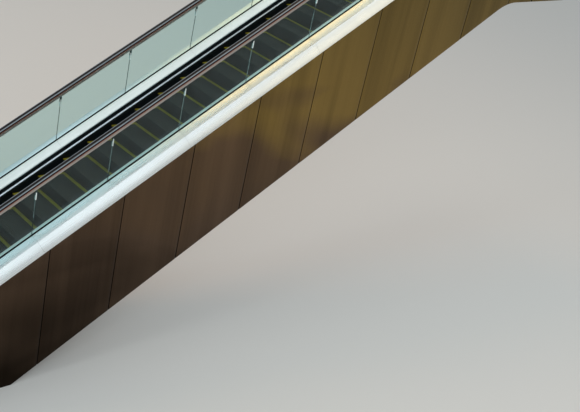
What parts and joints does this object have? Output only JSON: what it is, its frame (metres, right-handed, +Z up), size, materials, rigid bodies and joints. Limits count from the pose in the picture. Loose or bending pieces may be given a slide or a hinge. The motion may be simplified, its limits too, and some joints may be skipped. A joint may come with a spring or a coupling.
{
  "type": "escalator",
  "caption": "Inclined escalator with glass balustrades, black handrail loops, cleated steps, steel decks and a bronze-toned clad housing, with both landings.",
  "frame": {"origin": "middle of the lower bearing angle's underside, on the ground at the lower end", "axes": "+X up the incline in plan, +Y across the steps to the left when facing up, +Z up"},
  "size_m": [15.3723, 1.652, 7.02],
  "materials": {
    "housing_steel": "matt primer grey",
    "cladding": "satin bronze-toned stainless sheet",
    "soffit": "satin grey",
    "bearing_steel": "galvanised, dull",
    "deck_steel": "brushed stainless sheet, grain along the deck",
    "skirt": "black low-friction coating",
    "brush_carrier": "satin extrusion",
    "bristles": "nylon bristles",
    "gasket": "matt black",
    "glass": "clear toughened glass with a green edge",
    "guide": "satin extrusion",
    "handrail": "polished black rubber",
    "step_aluminium": "dark painted die casting with worn cleat tips",
    "step_yellow": "yellow inserts, satin",
    "comb": "natural, worn",
    "floor_plate": "ribbed stainless plate"
  },
  "bodies": {
    "root": {"truss_housing": "housing_steel", "cladding_right": "cladding", "cladding_left": "cladding", "soffit_panels": "soffit", "end_plate_lower": "housing_steel", "end_plate_upper": "housing_steel", "bearing_lower": "bearing_steel", "bearing_upper": "bearing_steel", "outer_deck_right": "deck_steel", "outer_deck_left": "deck_steel", "inner_deck_right": "deck_steel", "inner_deck_left": "deck_steel", "skirt_right": "skirt", "skirt_left": "skirt", "skirt_brush_right": "brush_carrier", "skirt_brush_left": "brush_carrier", "skirt_bristles_right": "bristles", "skirt_bristles_left": "bristles", "glass_channel_right": "gasket", "glass_channel_left": "gasket", "glass_right": "glass", "glass_left": "glass", "glass_clips_right": "guide", "glass_clips_left": "guide", "handrail_guide_right": "guide", "handrail_guide_left": "guide", "handrail_right": "handrail", "handrail_left": "handrail", "newel_front_lower": "deck_steel", "newel_front_upper": "deck_steel", "handrail_inlets_lower": "gasket", "handrail_inlets_upper": "gasket", "steps": "step_aluminium", "step_inserts": "step_yellow", "comb_lower": "comb", "comb_upper": "comb", "comb_plate_lower": "floor_plate", "comb_plate_upper": "floor_plate", "floor_plate_lower": "floor_plate", "floor_plate_upper": "floor_plate", "landing_frame_lower": "floor_plate", "landing_frame_upper": "floor_plate"}
  },
  "joints": []
}
